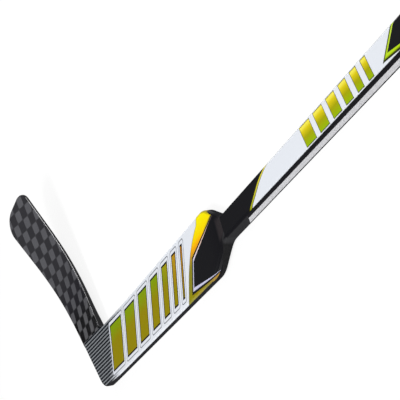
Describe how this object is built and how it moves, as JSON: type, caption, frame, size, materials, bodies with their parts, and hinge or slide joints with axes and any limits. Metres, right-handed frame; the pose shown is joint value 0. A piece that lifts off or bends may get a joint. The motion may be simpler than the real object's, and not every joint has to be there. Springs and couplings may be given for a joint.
{
  "type": "ice hockey goalkeeper's stick",
  "caption": "Ice hockey goalkeeper's stick: long rectangular shaft, wide flat paddle with sloping shoulders, and a curved blade set at an angle to stop pucks.",
  "frame": {"origin": "on the flat back of the shaft, on its middle line, at the top of the paddle's shoulder; the stick lies on its back, so the floor is at z = 0", "axes": "+X up the shaft to the butt, +Y across the paddle to the blade's toe side, +Z out of the front face, the one the blade curves towards"},
  "size_m": [1.6838, 0.3962, 0.0793],
  "materials": {
    "painted_laminate": "gloss",
    "edge_laminate": "satin",
    "carbon_laminate": "satin",
    "shoulder_moulding": "satin",
    "shaft_laminate": "gloss",
    "cap_plastic": "matte",
    "foam": "matte",
    "wood": "matte"
  },
  "bodies": {
    "root": {"shaft_tube": "shaft_laminate", "butt_cap": "cap_plastic", "shaft_tenon": "wood", "shoulder_block": "shoulder_moulding", "paddle_front_skin": "painted_laminate", "paddle_back_skin": "painted_laminate", "paddle_heel_rail": "edge_laminate", "paddle_toe_rail": "edge_laminate", "paddle_spine": "wood", "paddle_heel_core": "foam", "paddle_toe_core": "foam", "heel_block": "foam", "blade_front_skin": "carbon_laminate", "blade_back_skin": "carbon_laminate", "blade_top_rim": "edge_laminate", "blade_bottom_rim": "edge_laminate", "blade_rib": "carbon_laminate", "blade_upper_core": "foam", "blade_lower_core": "foam"}
  },
  "joints": []
}
